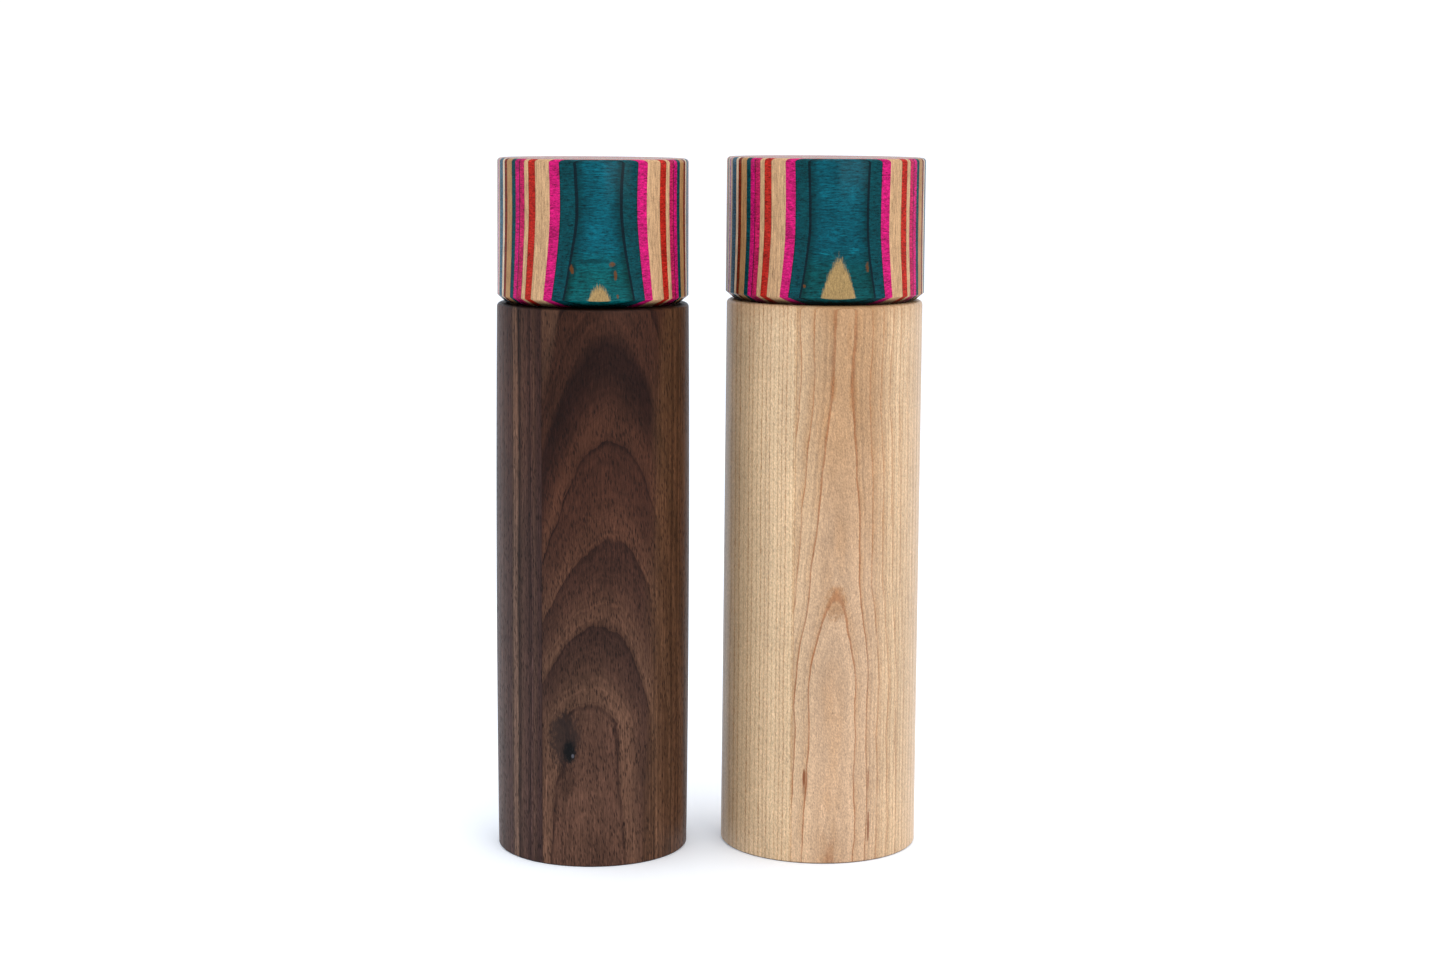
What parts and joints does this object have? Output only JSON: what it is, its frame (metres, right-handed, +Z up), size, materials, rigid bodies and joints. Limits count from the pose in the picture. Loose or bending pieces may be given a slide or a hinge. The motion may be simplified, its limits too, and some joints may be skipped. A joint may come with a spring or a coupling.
{
  "type": "salt and pepper mill set",
  "caption": "Matched pair of tall turned wooden spice mills with laminated veneer heads that turn and lift off, and adjustable ceramic grinders in their bases.",
  "frame": {"origin": "on the table, in the middle of the pair's bounding box", "axes": "+Z up along the mills' axes, +X from the walnut mill towards the maple mill, +Y away from the viewer"},
  "size_m": [0.1294, 0.064, 0.2107],
  "materials": {
    "walnut_wood": "satin oiled walnut, brown with darker vertical and arched grain",
    "maple_wood": "satin maple, pale honey with fine orange-brown grain lines",
    "walnut_mill_veneer": "gloss clear coat over upright teal, magenta, tan and red veneers",
    "maple_mill_veneer": "gloss clear coat over upright teal, magenta, tan and red veneers",
    "white_plastic": "moulded, off-white",
    "black_plastic": "moulded, fine texture, black",
    "ceramic": "unglazed white ceramic",
    "steel": "stainless",
    "aluminium": "drawn bar"
  },
  "bodies": {
    "walnut_mill": {"walnut_body": "walnut_wood", "walnut_grinder_housing": "black_plastic", "walnut_shaft_bush": "white_plastic", "walnut_retainer_plate": "black_plastic", "walnut_plate_screw_left": "steel", "walnut_plate_screw_right": "steel", "walnut_ring_spring": "steel"},
    "walnut_drive": {"walnut_drive_shaft": "aluminium", "walnut_shaft_circlip": "steel", "walnut_rotor_burr": "ceramic", "walnut_rotor_washer": "steel", "walnut_rotor_screw": "steel"},
    "walnut_cap": {"walnut_head": "walnut_mill_veneer", "walnut_head_insert": "white_plastic", "walnut_insert_clip": "steel"},
    "walnut_adjuster": {"walnut_adjuster_knob": "black_plastic"},
    "walnut_ring": {"walnut_ring_carrier": "black_plastic", "walnut_burr_ring": "ceramic"},
    "maple_mill": {"maple_body": "maple_wood", "maple_grinder_housing": "black_plastic", "maple_shaft_bush": "white_plastic", "maple_retainer_plate": "black_plastic", "maple_plate_screw_left": "steel", "maple_plate_screw_right": "steel", "maple_ring_spring": "steel"},
    "maple_drive": {"maple_drive_shaft": "aluminium", "maple_shaft_circlip": "steel", "maple_rotor_burr": "ceramic", "maple_rotor_washer": "steel", "maple_rotor_screw": "steel"},
    "maple_cap": {"maple_head": "maple_mill_veneer", "maple_head_insert": "white_plastic", "maple_insert_clip": "steel"},
    "maple_adjuster": {"maple_adjuster_knob": "black_plastic"},
    "maple_ring": {"maple_ring_carrier": "black_plastic", "maple_burr_ring": "ceramic"}
  },
  "joints": [
    {"name": "walnut_drive_turn", "type": "hinge", "parent": "walnut_mill", "child": "walnut_drive", "pos_m": [-0.0354, -0.00265, 0.1], "axis": [0, 0, 1], "continuous": true},
    {"name": "walnut_head_lift", "type": "slide", "parent": "walnut_drive", "child": "walnut_cap", "axis": [0, 0, 1], "range_m": [0, 0.06]},
    {"name": "walnut_adjuster_turn", "type": "hinge", "parent": "walnut_mill", "child": "walnut_adjuster", "pos_m": [-0.0354, -0.00265, 0.003], "axis": [0, 0, 1], "range_deg": [0, 150]},
    {"name": "walnut_ring_lift", "type": "slide", "parent": "walnut_mill", "child": "walnut_ring", "axis": [0, 0, 1], "range_m": [0, 0.0012], "deforming": ["walnut_ring_spring"]},
    {"name": "maple_mill_lift", "type": "slide", "parent": "walnut_mill", "child": "maple_mill", "axis": [0, 0, 1], "range_m": [0, 0.12]},
    {"name": "maple_drive_turn", "type": "hinge", "parent": "maple_mill", "child": "maple_drive", "pos_m": [0.0346, 0.00185, 0.1], "axis": [0, 0, 1], "continuous": true},
    {"name": "maple_head_lift", "type": "slide", "parent": "maple_drive", "child": "maple_cap", "axis": [0, 0, 1], "range_m": [0, 0.06]},
    {"name": "maple_adjuster_turn", "type": "hinge", "parent": "maple_mill", "child": "maple_adjuster", "pos_m": [0.0346, 0.00185, 0.003], "axis": [0, 0, 1], "range_deg": [0, 150]},
    {"name": "maple_ring_lift", "type": "slide", "parent": "maple_mill", "child": "maple_ring", "axis": [0, 0, 1], "range_m": [0, 0.0012], "deforming": ["maple_ring_spring"]}
  ],
  "couplings": [
    {"joint": "walnut_ring_lift", "follows": "walnut_adjuster_turn", "m_per_rad": 0.000458},
    {"joint": "maple_ring_lift", "follows": "maple_adjuster_turn", "m_per_rad": 0.000458}
  ]
}
